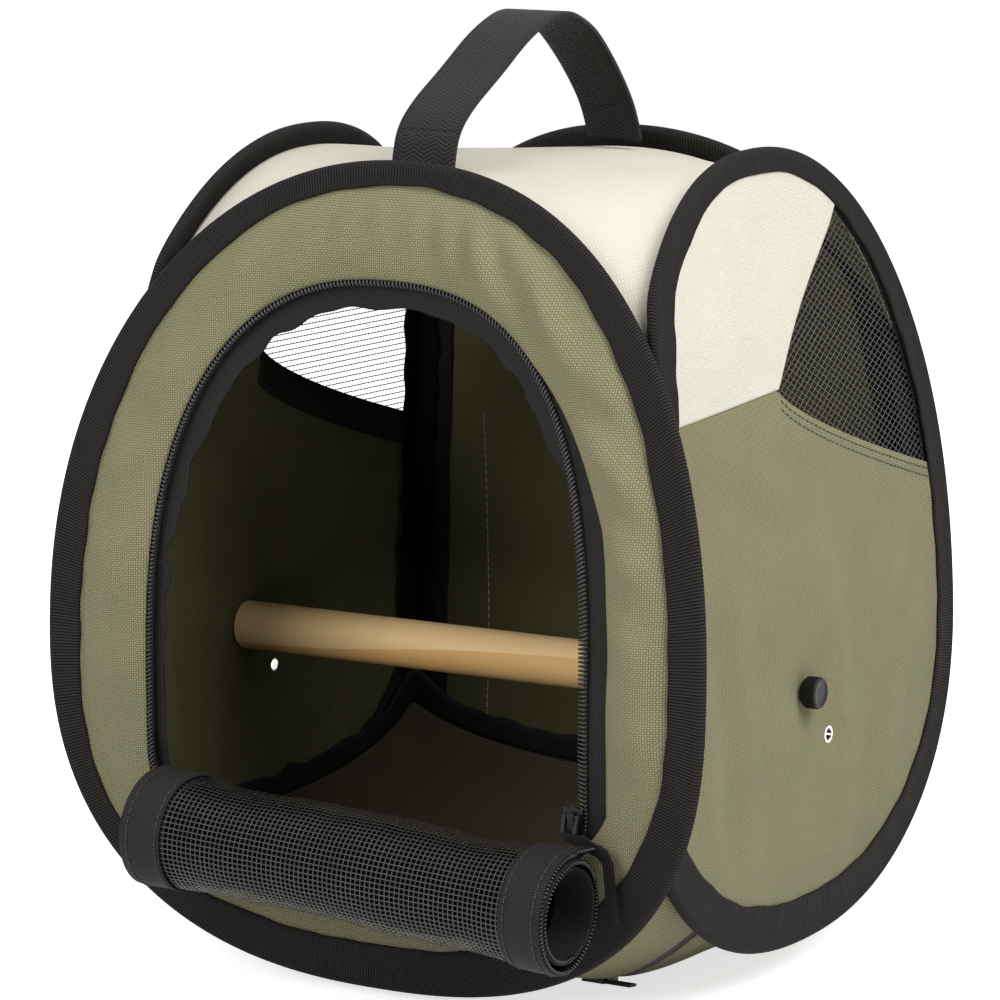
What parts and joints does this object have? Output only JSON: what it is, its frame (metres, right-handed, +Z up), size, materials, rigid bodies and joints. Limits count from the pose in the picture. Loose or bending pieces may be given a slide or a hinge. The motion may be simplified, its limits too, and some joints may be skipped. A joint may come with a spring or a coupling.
{
  "type": "bird travel carrier",
  "caption": "Pop-up cloth travel carrier for a small bird: arched zip doorway with its mesh door rolled down, mesh side windows, wooden perch and webbing handle.",
  "frame": {"origin": "middle of the cabin in X and Y, at the height of the surface that the floor stands on", "axes": "+Z up, the doorway faces -Y, +X is the right-hand side seen from the front"},
  "size_m": [0.2698, 0.2696, 0.3424],
  "materials": {
    "spring_wire": "satin",
    "binding_tape": "matt ribbed tape",
    "olive_cloth": "coated plain-weave cloth",
    "cream_cloth": "coated plain-weave cloth",
    "black_mesh": "knitted mesh",
    "zip_coil": "satin",
    "slider_metal": "gloss",
    "pull_tab": "satin",
    "webbing": "woven webbing",
    "perch_wood": "sanded",
    "insert_brass": "satin",
    "bright_metal": "polished",
    "knob_plastic": "satin"
  },
  "bodies": {
    "carrier": {"front_hoop_wire": "spring_wire", "front_hoop_binding": "binding_tape", "back_hoop_wire": "spring_wire", "back_hoop_binding": "binding_tape", "right_hoop_wire": "spring_wire", "right_hoop_binding": "binding_tape", "left_hoop_wire": "spring_wire", "left_hoop_binding": "binding_tape", "front_panel": "olive_cloth", "doorway_facing": "binding_tape", "door_zip_tape": "binding_tape", "door_zip_teeth": "zip_coil", "door_zip_stop": "bright_metal", "roof_panel": "cream_cloth", "handle_front_end": "webbing", "handle_back_end": "webbing", "right_lower_panel": "olive_cloth", "right_upper_panel": "cream_cloth", "right_window_net": "black_mesh", "right_window_tape": "binding_tape", "left_lower_panel": "olive_cloth", "left_upper_panel": "cream_cloth", "left_window_net": "black_mesh", "left_window_tape": "binding_tape", "back_panel": "olive_cloth", "back_pocket": "olive_cloth", "right_corner_tape": "binding_tape", "left_corner_tape": "binding_tape", "floor_front_panel": "olive_cloth", "floor_back_panel": "olive_cloth", "floor_edge_tape": "binding_tape", "floor_zip_tape": "binding_tape", "floor_zip_teeth": "zip_coil", "perch_eyelets": "bright_metal", "lower_eyelets": "bright_metal"},
    "handle": {"handle_strap": "webbing"},
    "door_roll": {"door_roll_mesh": "black_mesh", "door_roll_neck": "black_mesh", "door_roll_left_sleeve": "binding_tape", "door_roll_right_sleeve": "binding_tape", "door_roll_teeth": "zip_coil"},
    "door_slider": {"door_slider": "slider_metal"},
    "door_pull": {"door_slider_pull": "pull_tab"},
    "floor_slider": {"floor_slider": "slider_metal"},
    "floor_pull": {"floor_slider_pull": "pull_tab"},
    "perch": {"perch_dowel": "perch_wood", "perch_inserts": "insert_brass"},
    "right_screw": {"right_perch_screw": "bright_metal"},
    "right_thumb_knob": {"right_knob": "knob_plastic"},
    "left_screw": {"left_perch_screw": "bright_metal"},
    "left_thumb_knob": {"left_knob": "knob_plastic"}
  },
  "joints": [
    {"name": "handle_swing", "type": "hinge", "parent": "carrier", "child": "handle", "pos_m": [0, 0, 0.303], "axis": [0, 1, 0], "range_deg": [-80, 80]},
    {"name": "door_roll_swing", "type": "hinge", "parent": "carrier", "child": "door_roll", "pos_m": [0, -0.10663, 0.061], "axis": [-1, 0, 0], "range_deg": [0, 15]},
    {"name": "door_slider_travel", "type": "slide", "parent": "carrier", "child": "door_slider", "axis": [0, 0, 1], "range_m": [0, 0.058]},
    {"name": "door_pull_swing", "type": "hinge", "parent": "door_slider", "child": "door_pull", "pos_m": [0.0852, -0.11053, 0.0778], "axis": [-1, 0, 0], "range_deg": [0, 150]},
    {"name": "floor_slider_travel", "type": "slide", "parent": "carrier", "child": "floor_slider", "axis": [-1, 0, 0], "range_m": [0, 0.12]},
    {"name": "floor_pull_swing", "type": "hinge", "parent": "floor_slider", "child": "floor_pull", "pos_m": [0.06483, -0.05, 0.0012], "axis": [0, 1, 0], "range_deg": [0, 90]},
    {"name": "perch_spin", "type": "hinge", "parent": "carrier", "child": "perch", "pos_m": [0, -0.0065, 0.106], "axis": [1, 0, 0], "continuous": true},
    {"name": "right_screw_travel", "type": "slide", "parent": "carrier", "child": "right_screw", "axis": [1, 0, 0], "range_m": [0, 0.0119]},
    {"name": "right_knob_turn", "type": "hinge", "parent": "right_screw", "child": "right_thumb_knob", "pos_m": [0.12, -0.0065, 0.106], "axis": [1, 0, 0], "range_deg": [-20, 6180]},
    {"name": "left_screw_travel", "type": "slide", "parent": "carrier", "child": "left_screw", "axis": [-1, 0, 0], "range_m": [0, 0.0119]},
    {"name": "left_knob_turn", "type": "hinge", "parent": "left_screw", "child": "left_thumb_knob", "pos_m": [-0.12, -0.0065, 0.106], "axis": [-1, 0, 0], "range_deg": [-20, 6180]}
  ],
  "couplings": [
    {"joint": "right_knob_turn", "follows": "right_screw_travel", "rad_per_m": 8975.9},
    {"joint": "left_knob_turn", "follows": "left_screw_travel", "rad_per_m": 8975.9}
  ]
}
